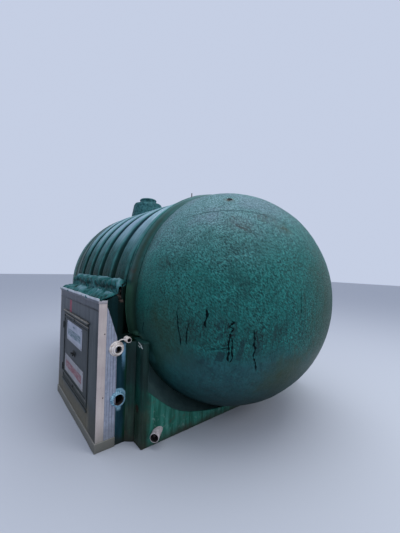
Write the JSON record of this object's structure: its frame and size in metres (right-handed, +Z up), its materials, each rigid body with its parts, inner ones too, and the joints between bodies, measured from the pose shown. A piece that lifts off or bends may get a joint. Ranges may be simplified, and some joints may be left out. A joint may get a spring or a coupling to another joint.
{
  "type": "flare knockout drum",
  "caption": "Horizontal glass-fibre tank with domed ends, a ribbed barrel and a top hatch, lying in a moulded base with a small valve house against one side.",
  "frame": {"origin": "on the floor, under the middle of the whole object, which reaches from the door handle to the tank's lip and from nose to nose of the two domes", "axes": "+Y along the tank, away from the near dome; +Z up; +X to the right when facing the near dome, so the valve house is on the -X side"},
  "size_m": [2.9204, 4.572, 2.9064],
  "materials": {
    "dome_skin": "weathered teal-green gelcoat over chopped glass fibre, lumpy, stained by run-off",
    "band_skin": "smoother deep green gelcoat",
    "rib_skin": "chalked grey-green gelcoat, paler on top of the ribs",
    "base_skin": "bright green hand-laid gelcoat, streaked and dirty near the ground",
    "house_skin": "dark blue-green gelcoat with olive stains",
    "panel_paint": "faded grey paint on sheet metal, muddy towards the bottom",
    "beige_trim": "chalky beige paint on folded sheet",
    "galvanised_sheet": "dull galvanised corrugated sheet",
    "pipe_plastic": "yellowed white plastic pipe, dirty",
    "sign_plate": null,
    "dark_iron": "dark, rusty iron"
  },
  "bodies": {
    "drum": {"front_dome": "dome_skin", "front_band": "band_skin", "barrel_rib_1": "rib_skin", "barrel_rib_2": "rib_skin", "barrel_rib_3": "rib_skin", "barrel_rib_4": "rib_skin", "barrel_rib_5": "rib_skin", "rear_band": "band_skin", "rear_dome": "dome_skin", "hatch_collar": "rib_skin", "hatch_cap": "rib_skin", "top_rod": "dark_iron", "base_front_plate": "base_skin", "base_rear_plate": "base_skin", "base_right_wall": "base_skin", "base_left_wall": "base_skin", "right_shoulder": "base_skin", "left_shoulder": "base_skin", "front_fairing": "house_skin", "rear_fairing": "house_skin", "near_end_wall": "house_skin", "return_wall": "house_skin", "far_end_wall": "house_skin", "corner_sheet": "base_skin", "panel_near": "panel_paint", "panel_far": "panel_paint", "panel_under": "panel_paint", "panel_over": "panel_paint", "panel_header": "panel_paint", "near_corner_trim": "beige_trim", "far_corner_trim": "beige_trim", "corrugated_strip": "galvanised_sheet", "panel_sill": "beige_trim", "near_sill": "beige_trim", "far_sill": "beige_trim", "top_flashing": "beige_trim", "roof_slope": "rib_skin", "roof_step": "rib_skin", "roof_ledge": "rib_skin", "upper_pipe": "pipe_plastic", "small_pipe": "pipe_plastic", "lower_sleeve": "pipe_plastic", "low_stub": "pipe_plastic", "drip_cap": "panel_paint", "door_foot_trim": "panel_paint", "lower_hinge_post": "dark_iron", "upper_hinge_post": "dark_iron"},
    "door": {"door_leaf": "panel_paint", "upper_sign": "sign_plate", "lower_sign": "sign_plate", "door_handle": "dark_iron", "top_catch": "dark_iron", "bottom_catch": "dark_iron", "lower_hinge_leaf": "dark_iron", "upper_hinge_leaf": "dark_iron"}
  },
  "joints": [
    {"name": "door_hinge", "type": "hinge", "parent": "drum", "child": "door", "pos_m": [-1.4362, 0.064, 0.65], "axis": [0, 0, -1], "range_deg": [0, 110]}
  ]
}
